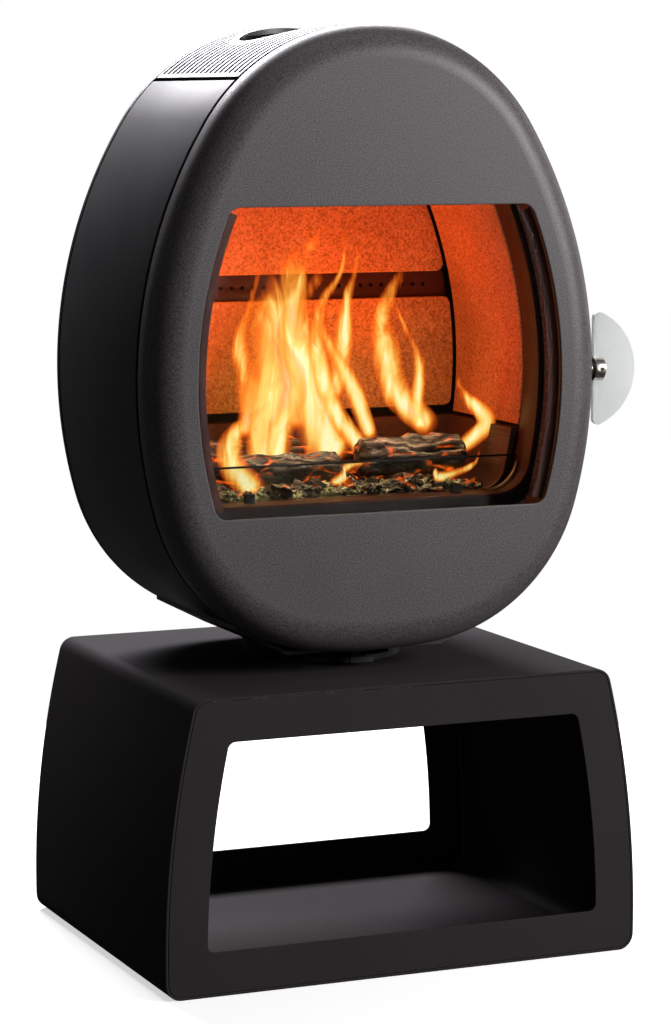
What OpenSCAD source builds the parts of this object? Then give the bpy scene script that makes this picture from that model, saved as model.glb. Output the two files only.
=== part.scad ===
// Oval wood burning stove on a log store pedestal.
// X is the width, -Y is the front and +Z is up. The origin is the centre of the pedestal's underside.

/* [Pedestal] */
// Width of the pedestal where its sides are widest
ped_w = 560; // [480:5:640]
// Width of the pedestal across its top
ped_top_w = 488; // [440:4:540]
// Height of the pedestal
ped_h = 322; // [280:2:380]
// Depth of the pedestal
ped_d = 440; // [400:5:480]
// Radius of the pedestal's bent corners
ped_corner_r = 18; // [12:1:26]
// Thickness of the pedestal's sheet steel
ped_sheet = 3; // [2:0.5:4]
// Width of the face left round the log opening
ped_face_w = 48; // [40:1:60]

/* [Oval casing] */
// Height of the crown above the floor
body_top = 1029; // [1020:1:1040]
// Radius of the crown arc
crown_r = 221; // [215:1:228]
// Radius of the long side arcs
side_r = 533; // [525:1:540]
// Radius of the lower shoulder arcs
shoulder_r = 208; // [200:1:215]
// Position of the door's front face
body_front = -158; // [-162:1:-154]
// Position of the rear edge of the side sheets
casing_rear = 148; // [147:1:149]
// Position of the rear shell's flat back
body_rear = 168; // [166:1:175]
// Thickness of the side sheets
wrap_sheet = 2; // [1.5:0.5:2]

/* [Door] */
// Depth of the door shell from its face to its rear rim
door_depth = 46; // [44:1:48]
// Radius of the door's rounded front edge
door_edge_r = 36; // [30:1:38]
// Thickness of the door shell
door_wall = 4; // [3:0.5:5]
// Gap between the door's rim and the line that the casing's front frame is set out from
door_gap = 4; // [3.5:0.5:5]
// Open seam between the door's rim and the casing's sheets
seam_gap = 7; // [5:0.5:8]
// Distance from the oval's edge to the window's curved sides
window_margin = 52; // [50:1:56]
// Height of the window's lower edge above the floor
window_low = 502; // [495:1:510]
// Height of the window's upper edge above the floor
window_high = 834; // [820:1:840]
// Radius of the window's corners
window_corner_r = 15; // [10:1:20]

/* [Handle] */
// Radius of the half-moon grip plate
grip_r = 68; // [60:1:72]
// How far the grip plate reaches sideways
grip_w = 52; // [44:1:56]
// Thickness of the grip plate
grip_t = 6; // [5:0.5:8]
// Height of the handle's axis above the floor
handle_z = 647.5; // [630:0.5:660]

/* [Flue and air] */
// Inner radius of the flue socket
flue_r = 75; // [60:1:76]
// Position of the flue's axis behind the centre
flue_y = 38; // [30:1:45]
// Outer radius of the neck under the casing
neck_r = 90; // [80:1:94]
// Number of slots across the top grille
grille_slots = 17; // [11:2:19]
// Width of a grille slot
slot_w = 7; // [5:0.5:8]

/* [Hidden] */
$fn = 96;
eps = 0.01;

// Colours
graphite = "#3b3a3d";
soot = "#1e1d1f";
steel = "#b8b8b6";
brick = "#c08a52";

// Oval outline: four tangent arcs from the crown down to the base, mirrored on the other side
crown_low = 31.7;
side_low = -15.8;
shoulder_low = -82.5;
function turn(a) = [cos(a), sin(a)];
crown_c = [0, body_top - crown_r];
side_c = crown_c + (crown_r - side_r) * turn(crown_low);
shoulder_c = side_c + (side_r - shoulder_r) * turn(side_low);
base_r = shoulder_r + shoulder_c.x / cos(shoulder_low);
base_c = shoulder_c + (shoulder_r - base_r) * turn(shoulder_low);
ARCS = [
    [base_c, base_r, -90, shoulder_low],
    [shoulder_c, shoulder_r, shoulder_low, side_low],
    [side_c, side_r, side_low, crown_low],
    [crown_c, crown_r, crown_low, 90]
];

// Depth positions
ped_front = -ped_d / 2;
door_rim = body_front + door_depth;
wrap_front = door_rim + door_gap;
sheet_front = door_rim + seam_gap;
frame_y = wrap_front + 8;
frame_t = 4;
firebox_back_y = 143;
glass_y = body_front + door_wall + 1.7;
glass_t = 4;
retainer_y = glass_y + glass_t + 0.2;
retainer_t = 3;

// Radii about the side arcs' centres, all concentric with the casing
window_r = side_r - window_margin;
throat_r = window_r + 3;
brick_r = window_r - 1;
brick_t = 25;
seal_r = throat_r + 7;
seal_w = 6;
carrier_w = 8;
box_r = brick_r + brick_t + 5;
box_t = 4;

// Heights inside the firebox
box_low = 430;
box_high = 935;
tray_top = 577;
tray_floor = 488;
brick_high = 858;
air_bar_low = 717;
air_bar_high = 747;

// Pedestal side arc: upright at its widest, leaning in towards the top
ped_wide_z = 40;
ped_rise = ped_h - ped_wide_z;
ped_lean = (ped_w - ped_top_w) / 2;
ped_side_r = (ped_rise * ped_rise + ped_lean * ped_lean) / (2 * ped_lean);
ped_side_c = [ped_w / 2 - ped_side_r, ped_wide_z];

// Neck and its air valve
neck_y = 20;
neck_wall = 3;
flange_t = 3;
valve_z = 329.5;
valve_t = 3;
valve_pin_r = 4;
lever_reach = 117;
lever_w = 14;

// Hinge on the left, hidden inside the door shell
hinge_x = -252;
hinge_y = -124;
hinge_pin_r = 3;
hinge_z = [side_c.y - 60, side_c.y + 60];
barrel_r = 5.2;
arm_h = 10;
lug_h = 8;

// Handle shaft
handle_y = -128;
shaft_r = 6;
stub_r = 13.5;
grip_x = 269.5;
running = 0.05;

// Grilles: the crown between the side sheets, and the flatter piece under the casing
grille_a = 46.4;
grille_t = 6;
wrap_low_a = -58.5;
slot_pitch = 14.5;
grille_mid_y = (sheet_front + casing_rear) / 2;

function arc(c, r, a0, a1, n) = [for (i = [0:n]) c + r * turn(a0 + (a1 - a0) * i / n)];
function mirrored(p) = [for (i = [len(p) - 1:-1:0]) [-p[i].x, p[i].y]];

// Oval outline set in by t
function oval_half(t) = [for (k = ARCS) each arc(k[0], k[1] - t, k[2], k[3], 14)];
function oval(t) = concat(oval_half(t), mirrored(oval_half(t)));

// Barrel outline: flat top and bottom, sides on arcs of radius r about c, rounded corners
function corner_x(c, r, z, rc) = c.x + sqrt(pow(r - rc, 2) - pow(z - c.y, 2));
function barrel_half(c, r, z0, z1, r0, r1) =
    let (
        low = [corner_x(c, r, z0 + r0, r0), z0 + r0],
        high = [corner_x(c, r, z1 - r1, r1), z1 - r1],
        a0 = atan2(low.y - c.y, low.x - c.x),
        a1 = atan2(high.y - c.y, high.x - c.x)
    )
    concat(arc(low, r0, -90, a0, 8), arc(c, r, a0, a1, 18), arc(high, r1, a1, 90, 8));
function barrel(c, r, z0, z1, r0, r1) =
    let (half = barrel_half(c, r, z0, z1, r0, r1)) concat(half, mirrored(half));

// Window-shaped outline, t larger all round than the window
function window(t) =
    barrel(side_c, window_r + t, window_low - t, window_high + t, window_corner_r + t, window_corner_r + t);

function pedestal(t) =
    barrel(ped_side_c, ped_side_r - t, t, ped_h - t, ped_corner_r - t, ped_corner_r - t);
function log_opening() =
    barrel(ped_side_c, ped_side_r - ped_face_w, ped_face_w, ped_h - ped_face_w, 9, 9);

// Upright slab of an XZ outline between two depths
module slab(y0, y1) {
    translate([0, y1, 0])
        rotate([90, 0, 0])
            linear_extrude(y1 - y0) children();
}

// Ring between two outlines
module ring(outer, inner, y0, y1) {
    slab(y0, y1) difference() {
        polygon(outer);
        polygon(inner);
    }
}

// Part of an oval arc k, swept from a section drawn as [offset from the outline, -Y]
module sweep(k, a0, a1) {
    rotate([90, 0, 0])
        translate([k[0].x, k[0].y, 0])
            rotate([0, 0, a0])
                rotate_extrude(angle = a1 - a0, $fn = 240)
                    translate([k[1], 0]) children();
}

// Section rectangle for sweep(): from offset o0 to o1 and from depth y0 to y1
module section(o0, o1, y0, y1) {
    translate([o0, -y1]) square([o1 - o0, y1 - y0]);
}

module both_sides() {
    children();
    mirror([1, 0, 0]) children();
}

// Cylinder along Y between two depths
module rod_y(x, z, r, y0, y1) {
    translate([x, y0, z])
        rotate([-90, 0, 0])
            cylinder(r = r, h = y1 - y0);
}

// Screw along Y: a head in front of depth y and a shank behind it
module screw_y(x, z, head_r, head_h, shank_r, y, shank) {
    rod_y(x, z, head_r, y - head_h, y);
    rod_y(x, z, shank_r, y - eps, y + shank);
}

// ---- Pedestal ----

module pedestal_wrap() {
    color(graphite) difference() {
        ring(pedestal(0), pedestal(ped_sheet), ped_front, -ped_front);
        translate([0, neck_y, ped_h - 10]) cylinder(r = 60, h = 20);
        neck_bolt_places() translate([0, 0, ped_h - 10]) cylinder(r = 4.2, h = 20);
    }
}

module face_panel(y0) {
    ring(pedestal(ped_sheet + 0.4), log_opening(), y0, y0 + ped_sheet);
}

module pedestal_front_panel() {
    color(graphite) face_panel(ped_front);
}

module pedestal_rear_panel() {
    color(graphite) face_panel(-ped_front - ped_sheet);
}

// Small angle tabs that hold the face panels along the top edge
module panel_tabs() {
    tab = [16, 22, 18];
    top_z = ped_h - ped_sheet - tab.z;
    color(graphite) both_sides() for (x = [30, 180]) {
        translate([x, ped_front + ped_sheet, top_z]) difference() {
            cube(tab);
            translate([-1, 3, -eps]) cube([tab.x + 2, tab.y, tab.z - 3]);
        }
        translate([x, -ped_front - ped_sheet - tab.y, top_z]) difference() {
            cube(tab);
            translate([-1, -3, -eps]) cube([tab.x + 2, tab.y, tab.z - 3]);
        }
    }
}

// ---- Neck and air valve ----

module neck_bolt_places() {
    for (a = [45:90:315])
        translate([74 * cos(a), neck_y + 74 * sin(a), 0]) children();
}

module neck_flange() {
    color(soot) difference() {
        translate([0, neck_y, ped_h]) cylinder(r = neck_r - neck_wall - 0.2, h = flange_t);
        translate([0, neck_y, ped_h - 1]) cylinder(r = 60, h = flange_t + 2);
        neck_bolt_places() translate([0, 0, ped_h - 1]) cylinder(r = 4.2, h = flange_t + 2);
    }
}

module neck_tube() {
    base = ped_h;
    color(soot) difference() {
        translate([0, neck_y, base]) cylinder(r = neck_r, h = box_low - base);
        translate([0, neck_y, base - 1]) cylinder(r = neck_r - neck_wall, h = box_low - base + 2);
        translate([-52, neck_y - neck_r - 5, valve_z - 1]) cube([104, 45, valve_t + 2]);
    }
}

module neck_bolts() {
    color(steel) neck_bolt_places() {
        translate([0, 0, ped_h - ped_sheet - 12]) cylinder(r = 4, h = 12 + ped_sheet + flange_t + eps);
        translate([0, 0, ped_h + flange_t]) cylinder(r = 6.5, h = 3, $fn = 6);
        translate([0, 0, ped_h - ped_sheet - 6]) cylinder(r = 6.5, h = 6, $fn = 6);
    }
}

// Pair of quarter-circle air ports, cut through the valve's discs
module air_ports(z, h) {
    for (a = [0, 180])
        translate([0, 0, z])
            rotate([0, 0, a + 60])
                rotate_extrude(angle = 60) translate([22, 0]) square([44, h]);
}

module valve_seat() {
    seat_z = valve_z + valve_t + 1;
    color(soot) translate([0, neck_y, 0]) difference() {
        translate([0, 0, seat_z]) cylinder(r = neck_r - neck_wall - 0.2, h = 3);
        translate([0, 0, seat_z - 1]) cylinder(r = valve_pin_r, h = 5);
        air_ports(seat_z - 1, 5);
    }
}

module valve_pin() {
    color(steel) translate([0, neck_y, 0]) {
        translate([0, 0, valve_z - 0.4]) cylinder(r = valve_pin_r, h = valve_t + 4.4);
        translate([0, 0, valve_z - 3.4]) cylinder(r = 8, h = 3);
        translate([0, 0, valve_z + valve_t + 4]) cylinder(r = 7, h = 3);
    }
}

module air_damper() {
    color(steel) translate([0, neck_y, 0]) difference() {
        union() {
            translate([0, 0, valve_z]) cylinder(r = 76, h = valve_t);
            translate([-lever_w / 2, -lever_reach + 4, valve_z]) cube([lever_w, lever_reach - 70, valve_t]);
        }
        translate([0, 0, valve_z - 1]) cylinder(r = valve_pin_r + running, h = valve_t + 2);
        air_ports(valve_z - 1, valve_t + 2);
    }
}

module air_knob() {
    color(soot) translate([-14, neck_y - lever_reach, valve_z - 4]) cube([28, 4, 4 + valve_t]);
}

// ---- Casing ----

// Side sheet, from the top grille round to the bottom grille
function wrap_line(t) = concat(
    arc(shoulder_c, shoulder_r - t, wrap_low_a, side_low, 10),
    arc(side_c, side_r - t, side_low, crown_low, 18),
    arc(crown_c, crown_r - t, crown_low, grille_a, 4)
);

module side_wrap() {
    outer = wrap_line(0);
    inner = wrap_line(wrap_sheet);
    color(graphite) slab(sheet_front, casing_rear)
        polygon(concat(outer, [for (i = [len(inner) - 1:-1:0]) inner[i]]));
}

module side_wrap_right() {
    side_wrap();
}

module side_wrap_left() {
    mirror([1, 0, 0]) side_wrap();
}

// Front edge of slot number i
function slot_y(i) = grille_mid_y + (i - (grille_slots - 1) / 2) * slot_pitch - slot_w / 2;

module top_grille() {
    clear_a = 1.5;
    solid_end = 9;
    half_w = crown_r * cos(grille_a) - solid_end;
    slot_l = 2 * half_w;
    outer = arc(crown_c, crown_r, grille_a + clear_a, 180 - grille_a - clear_a, 32);
    inner = arc(crown_c, crown_r - grille_t, 180 - grille_a - clear_a, grille_a + clear_a, 32);
    color("#4a494c") difference() {
        slab(sheet_front, casing_rear) polygon(concat(outer, inner));
        difference() {
            for (i = [0:grille_slots - 1])
                translate([-half_w, slot_y(i), crown_c.y]) cube([slot_l, slot_w, crown_r + 10]);
            translate([0, flue_y, crown_c.y - 1]) cylinder(r = flue_r + 19.7, h = crown_r + 20);
        }
        translate([0, flue_y, crown_c.y]) cylinder(r = flue_r + 9, h = crown_r + 10);
    }
}

// Cast piece under the casing: two slotted slopes and a flat round the neck
module bottom_grille() {
    low_z = 342;
    flat_x = 94;
    outer = [[-152.5, 371.8], [-flat_x, low_z], [flat_x, low_z], [152.5, 371.8]];
    color(soot) difference() {
        slab(sheet_front, casing_rear)
            polygon(concat(outer, [for (i = [3:-1:0]) [outer[i].x, outer[i].y + 5]]));
        translate([0, neck_y, low_z - 10]) cylinder(r = neck_r + 1.5, h = 50);
        for (i = [0:grille_slots - 1])
            both_sides()
                translate([100, slot_y(i), low_z - 5]) cube([36, slot_w, 60]);
    }
}

// Places of the posts and screws that hold the heat shield and the rear shell
rear_posts = [for (x = [-1, 1]) each [[x * 120, 480], [x * 120, 840], [x * 205, 650]]];
cover_gap = 3;
cover_wall = 2;
cover_edge_r = 12;
shield_y = 151.5;
shield_t = 1.5;

// Closed oval ring at offset t from the outline and depth y, with no point twice
function ring_half(t) = concat(
    [for (k = ARCS) for (i = [0:9]) k[0] + (k[1] - t) * turn(k[2] + (k[3] - k[2]) * i / 10)],
    [crown_c + [0, crown_r - t]]
);
function closed(half) = concat(half, [for (i = [len(half) - 2:-1:1]) [-half[i].x, half[i].y]]);
function level(half, y) = [for (p = closed(half)) [p.x, y, p.y]];

// Shallow oval dish: flat face at y = 0, rounded edge, rim at y = depth
module dish(depth, edge_r, wall) {
    inner_r = edge_r - wall;
    outside = concat([[0, depth]],
        [for (a = [0:15:90]) [edge_r - edge_r * cos(a), edge_r - edge_r * sin(a)]]);
    inside = concat([for (a = [90:-15:0]) [edge_r - inner_r * cos(a), edge_r - inner_r * sin(a)]],
        [[wall, depth]]);
    rings = [for (s = concat(outside, inside)) level(ring_half(s[0]), s[1])];
    m = len(rings);
    n = len(rings[0]);
    face = len(outside) - 1;
    polyhedron(
        points = [for (ring = rings) each ring],
        faces = concat(
            [for (i = [0:m - 1]) if (i != face) for (j = [0:n - 1])
                let (i1 = (i + 1) % m, j1 = (j + 1) % n)
                each [[i * n + j, i1 * n + j, i1 * n + j1], [i * n + j, i1 * n + j1, i * n + j1]]],
            [[for (j = [0:n - 1]) face * n + j], [for (j = [n - 1:-1:0]) (face + 1) * n + j]]
        )
    );
}

module rear_cover() {
    y = body_rear - cover_wall - 1;
    color(graphite) difference() {
        translate([0, body_rear, 0])
            mirror([0, 1, 0]) dish(body_rear - casing_rear - cover_gap, cover_edge_r, cover_wall);
        for (z = [430, 446, 462, 880, 896, 912])
            for (x = [-110:44:110])
                translate([x - 17, y, z]) cube([34, cover_wall + 2, 7]);
        for (p = rear_posts)
            rod_y(p.x, p.y, 2.2, y, body_rear + 1);
    }
}

module rear_cover_screws() {
    color(steel) for (p = rear_posts) {
        rod_y(p.x, p.y, 2, body_rear - 10, body_rear + eps);
        rod_y(p.x, p.y, 4, body_rear, body_rear + 2);
    }
}

// Threaded posts between the heat shield and the rear shell
module cover_posts() {
    color(steel) for (p = rear_posts) difference() {
        rod_y(p.x, p.y, 5, shield_y + shield_t, body_rear - cover_wall);
        rod_y(p.x, p.y, 2, body_rear - 10, body_rear);
    }
}

module heat_shield() {
    color(steel) difference() {
        slab(shield_y, shield_y + shield_t) polygon(oval(28));
        slab(shield_y - 1, shield_y + shield_t + 1) translate([-150, 300]) square([300, 90]);
    }
}

module shield_spacers() {
    color(steel) for (p = rear_posts)
        rod_y(p.x, p.y, 6, firebox_back_y + box_t, shield_y);
}

// ---- Firebox ----

function box_outline(t) = barrel(side_c, box_r + box_t - t, box_low + t, box_high - t, 52 - t, 32 - t);

module firebox_shell() {
    color(soot) difference() {
        ring(box_outline(0), box_outline(box_t), frame_y + frame_t, firebox_back_y);
        translate([0, neck_y, box_low - 5]) cylinder(r = 62, h = 20);
        translate([0, flue_y, box_high - 10]) cylinder(r = flue_r, h = 20);
        for (a = [45:90:315])
            translate([84 * cos(a), flue_y + 84 * sin(a), box_high - 10]) cylinder(r = 2.6, h = 20);
    }
}

module firebox_back() {
    color(soot) slab(firebox_back_y, firebox_back_y + box_t) polygon(box_outline(0));
}

function throat(t) = barrel(side_c, throat_r - t, window_low + 3 + t, window_high + 19 - t, 42 - t, 17 - t);

// Steel face that the door closes against
module front_frame() {
    color(soot) difference() {
        slab(frame_y, frame_y + frame_t) difference() {
            polygon(oval(wrap_sheet + 0.5));
            polygon(concat(
                arc(crown_c, crown_r, grille_a, 180 - grille_a, 32),
                arc(crown_c, crown_r - grille_t - 0.3, 180 - grille_a, grille_a, 32)
            ));
            polygon(throat(0));
        }
        slab(frame_y - 1, frame_y + frame_t + 1) translate([-150, 300]) square([300, 72]);
    }
}

module throat_liner() {
    color("#3a2520") ring(throat(0), throat(3), frame_y, -62);
}

module hearth_tray() {
    y0 = -60;
    y1 = firebox_back_y - 1;
    wall = 7;
    outer_r = brick_r - 1;
    flange_r = brick_r + brick_t;
    color("#3a2a26") difference() {
        union() {
            slab(y0, y1 - brick_t - 2) polygon(barrel(side_c, outer_r, tray_floor, tray_top, 44, 1));
            slab(y0, y1) polygon(barrel(side_c, flange_r, tray_top - 6, tray_top, 1, 1));
        }
        slab(y0 + 6, y1 - brick_t - 2 - wall)
            polygon(barrel(side_c, outer_r - wall, tray_floor + 6, tray_top + 10, 38, 1));
        slab(y0 - 1, y0 + 7) polygon(barrel(side_c, outer_r - wall, tray_floor + 20, tray_top + 10, 30, 1));
        translate([0, neck_y, tray_floor - 1]) cylinder(r = 60, h = 10);
    }
}

module grate() {
    color(soot) translate([0, neck_y, tray_floor]) difference() {
        union() {
            cylinder(r = 59, h = 6);
            translate([0, 0, -4]) cylinder(r = 54, h = 5);
        }
        for (x = [-40:16:40])
            translate([x - 3.5, -sqrt(pow(48, 2) - x * x), -5]) cube([7, 2 * sqrt(pow(48, 2) - x * x), 12]);
    }
}

// Open tray under the grate, with a front grip edge
module ash_pan() {
    pan = [190, 150, 36];
    low = box_low + box_t + 2;
    color(soot) translate([-pan.x / 2, neck_y - pan.y / 2, low]) difference() {
        union() {
            cube(pan);
            translate([pan.x / 2 - 30, -12, pan.z - 3]) cube([60, 13, 3]);
        }
        translate([1.5, 1.5, 1.5]) cube([pan.x - 3, pan.y - 3, pan.z]);
    }
}

// Curved refractory plate along one side
module side_brick() {
    low_a = asin((tray_top + 0.3 - side_c.y) / (brick_r + brick_t));
    high_a = asin((brick_high - side_c.y) / (brick_r + brick_t));
    color(brick) sweep(ARCS[2], low_a, high_a)
        section(brick_r - side_r, brick_r + brick_t - side_r, -60, 114);
}

module side_brick_right() {
    side_brick();
}

module side_brick_left() {
    mirror([1, 0, 0]) side_brick();
}

back_brick_y = firebox_back_y - 1 - brick_t;

module back_brick_lower() {
    color(brick) slab(back_brick_y, firebox_back_y - 1)
        polygon(barrel(side_c, brick_r - 2, 588, air_bar_low, 9, 9));
}

module back_brick_upper() {
    color(brick) slab(back_brick_y, firebox_back_y - 1)
        polygon(barrel(side_c, brick_r - 2, air_bar_high, brick_high - 1, 9, 9));
}

// Hollow bar with a row of air holes between the back plates
module air_bar() {
    y0 = back_brick_y + 6;
    y1 = firebox_back_y;
    z0 = air_bar_low + 0.5;
    z1 = air_bar_high - 0.5;
    color("#2c1d1a") difference() {
        slab(y0, y1) polygon(barrel(side_c, brick_r - 3, z0, z1, 1, 1));
        translate([-196, y0 + 2, z0 + 2]) cube([392, y1 - y0 - 1.5, z1 - z0 - 4]);
        for (i = [-13:13]) rod_y(i * 13.5, (z0 + z1) / 2, 2.5, y0 - 1, y0 + 3);
    }
}

// Bent clips on the shell's sides that hold the side plates down
module brick_clips() {
    color(steel) both_sides() {
        translate([176, -45, brick_high + 0.2]) cube([18.5, 20, 2]);
        translate([190.5, -45, brick_high + 0.2]) cube([2, 20, 9]);
    }
}

module baffle_brick() {
    color(brick) translate([-176, -10, brick_high + 0.2]) cube([352, firebox_back_y + 8, 22]);
}

module smoke_deflector() {
    color(soot) translate([-140, frame_y + frame_t + 14, 912]) cube([280, 150, 3]);
}

// Angle rails that carry the deflector
module deflector_rails() {
    color(soot) both_sides() {
        translate([128, frame_y + frame_t + 14, 908.7]) cube([22, 150, 3]);
        translate([147, frame_y + frame_t + 14, 902]) cube([3, 150, 9]);
    }
}

module flue_socket() {
    color(soot) translate([0, flue_y, 0]) difference() {
        union() {
            translate([0, 0, box_high]) cylinder(r = flue_r + 2.5, h = body_top - 11 - box_high);
            translate([0, 0, box_high]) cylinder(r = flue_r + 17, h = 4);
        }
        translate([0, 0, box_high - 1]) cylinder(r = flue_r, h = 120);
        for (a = [45:90:315])
            translate([84 * cos(a), 84 * sin(a), box_high - 1]) cylinder(r = 2.6, h = 6);
    }
}

module flue_bolts() {
    color(steel) for (a = [45:90:315])
        translate([84 * cos(a), flue_y + 84 * sin(a), box_high - 10]) {
            cylinder(r = 2.5, h = 14 + eps);
            translate([0, 0, 14]) cylinder(r = 4.6, h = 3.5, $fn = 6);
        }
}

// Glass pane that keeps the embers behind the door's sill
guard_y = -76;
guard_t = 4;

module ember_guard() {
    color([0.75, 0.85, 0.8, 0.35]) slab(guard_y, guard_y + guard_t)
        polygon(barrel(side_c, throat_r - 5, window_low + 7.5, 549, 38, 6));
}

module guard_feet() {
    color(steel) for (x = [-130, 120])
        difference() {
            translate([x, guard_y - 2.5, window_low + 6]) cube([10, guard_t + 5, 10]);
            translate([x - 1, guard_y - 0.1, window_low + 7.4]) cube([12, guard_t + 0.2, 12]);
        }
}

// Bed of ash with a gently mounded top
module ash_bed() {
    color("#77745f") slab(-53, 107)
        polygon(concat(
            [for (i = [-9:9]) [i * 19.6, 505.5 + 6 * cos(i * 13) + 2 * sin(i * 97)]],
            [[172, 500.5], [163, 497], [152, 494.5], [-152, 494.5], [-163, 497], [-172, 500.5]]
        ));
}

// Charred split logs: [centre, length, radius, heading, tilt]
LOGS = [
    [[-65, -8, 535], 160, 21, 6, 0],
    [[-30, 58, 543], 270, 29, 4, 0],
    [[100, -5, 543.5], 130, 29, -3, 0]
];

module logs() {
    color("#2a211c") for (k = LOGS)
        translate(k[0])
            rotate([0, 90 + k[4], k[3]])
                translate([0, 0, -k[1] / 2]) cylinder(r = k[2], h = k[1], $fn = 9);
}

// ---- Hinge and catch on the frame ----

// Goose-neck arm: a barrel on the hinge axis, carried inboard and then back to the frame
module hinge_arms() {
    neck_x = hinge_x + 16;
    color(steel) for (z = hinge_z)
        difference() {
            union() {
                translate([hinge_x, hinge_y, z - arm_h / 2]) cylinder(r = barrel_r, h = arm_h);
                translate([hinge_x, hinge_y - 3, z - arm_h / 2]) cube([neck_x + 6 - hinge_x, 6, arm_h]);
                translate([neck_x, hinge_y - 3, z - arm_h / 2]) cube([6, frame_y - hinge_y + 3, arm_h]);
                translate([neck_x - 14, frame_y - 3, z - 14]) cube([20, 3, 28]);
            }
            translate([hinge_x, hinge_y, z - arm_h]) cylinder(r = hinge_pin_r + running, h = 2 * arm_h);
        }
}

catch_y = handle_y + 17;
catch_z = handle_z - 6;

module catch_bracket() {
    color(steel) difference() {
        union() {
            translate([248.5, catch_y - 5, catch_z - 7]) cube([4, frame_y - catch_y + 5, 14]);
            translate([236, frame_y - 2, catch_z - 22]) cube([16.5, 2, 13]);
            translate([248.5, frame_y - 2, catch_z - 22]) cube([4, 2, 22]);
        }
        translate([240, catch_y, catch_z]) rotate([0, 90, 0]) cylinder(r = 3, h = 20);
    }
}

module catch_pin() {
    color(steel) translate([236.5, catch_y, catch_z]) rotate([0, 90, 0]) {
        cylinder(r = 3, h = 16);
    }
}

// ---- Door ----

// Points along the window's outline, and the oval's points on the rays from the window's middle through them
ray_c = [0, (window_low + window_high) / 2];
function between(p, q, n) = [for (i = [1:n]) p + (q - p) * i / (n + 1)];
function half_window() =
    let (
        half = barrel_half(side_c, window_r, window_low, window_high, window_corner_r, window_corner_r),
        low = [0, window_low],
        high = [0, window_high]
    )
    concat([low], between(low, half[0], 12), half, between(half[len(half) - 1], high, 12), [high]);
function hit(c, r, u) = let (d = ray_c - c, b = d * u) ray_c + u * (sqrt(b * b - d * d + r * r) - b);
function oval_at(p, t) =
    let (u = (p - ray_c) / norm(p - ray_c))
    [for (k = ARCS)
        let (q = hit(k[0], k[1] - t, u), a = atan2(q.y - k[0].y, q.x - k[0].x))
        if (a > k[2] - eps && a < k[3] + eps) q][0];

// Rings of the shell: up the rim, round the edge, across the face to the window, and back inside
module door_solid() {
    window = half_window();
    n = len(closed(window));
    c = body_front + door_edge_r;
    inner_r = door_edge_r - door_wall;
    outside = concat([[0, door_rim]],
        [for (a = [0:15:90]) [door_edge_r - door_edge_r * cos(a), c - door_edge_r * sin(a)]]);
    inside = concat([for (a = [90:-15:0]) [door_edge_r - inner_r * cos(a), c - inner_r * sin(a)]],
        [[door_wall, door_rim]]);
    rings = concat(
        [for (s = outside) level([for (p = window) oval_at(p, s[0])], s[1])],
        [level(window, body_front), level(window, body_front + door_wall)],
        [for (s = inside) level([for (p = window) oval_at(p, s[0])], s[1])]
    );
    m = len(rings);
    polyhedron(
        points = [for (ring = rings) each ring],
        faces = [for (i = [0:m - 1]) for (j = [0:n - 1])
            let (i1 = (i + 1) % m, j1 = (j + 1) % n)
            each [[i * n + j, i1 * n + j, i1 * n + j1], [i * n + j, i1 * n + j1, i * n + j1]]]
    );
}

module door_shell() {
    color(graphite) difference() {
        door_solid();
        translate([240, handle_y, handle_z]) rotate([0, 90, 0]) cylinder(r = 9, h = 40);
    }
}

module door_glass() {
    color([0.1, 0.1, 0.1, 0.3]) slab(glass_y, glass_y + glass_t) polygon(window(10));
}

module glass_seal() {
    color("#2a2a2a") ring(window(10), window(2), body_front + door_wall, glass_y);
}

// Places of the screws round the glass: on the window outline, this far outside it
boss_out = 18;
boss_r = 4;
boss_y = body_front + door_wall + 0.75;
function boss_at(z) = side_c.x + sqrt(pow(window_r + boss_out, 2) - pow(z - side_c.y, 2));
boss_z = [540, 630, 730, 800];
BOSSES = concat(
    [for (z = boss_z) [boss_at(z), z]],
    [for (z = boss_z) [-boss_at(z), z]],
    [for (x = [-90, 90]) [x, window_low - boss_out]],
    [for (x = [-90, 90]) [x, window_high + boss_out]]
);

// Ring of width w on the line where the door seals against the front frame
module seal_ring(w, y0, y1) {
    ring(window(seal_r + w / 2 - window_r), window(seal_r - w / 2 - window_r), y0, y1);
}

// Folded inner frame: clamps the glass and carries the door seal
module door_frame() {
    color(soot) difference() {
        union() {
            ring(window(24), window(3), retainer_y, retainer_y + retainer_t);
            seal_ring(carrier_w, retainer_y, door_rim - 4);
        }
        for (p = BOSSES) rod_y(p.x, p.y, 2.1, retainer_y - 1, retainer_y + retainer_t + 1);
    }
}

module frame_bosses() {
    color(steel) for (p = BOSSES) difference() {
        rod_y(p.x, p.y, boss_r, boss_y, retainer_y);
        rod_y(p.x, p.y, 2, boss_y + 1, retainer_y + 1);
    }
}

module frame_screws() {
    color(steel) for (p = BOSSES) {
        rod_y(p.x, p.y, 2, boss_y + 1, retainer_y + retainer_t + eps);
        rod_y(p.x, p.y, 3.2, retainer_y + retainer_t, retainer_y + retainer_t + 2.4);
    }
}

module door_seal() {
    color("#55534f") seal_ring(seal_w, door_rim - 4, frame_y - 0.4);
}

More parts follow.
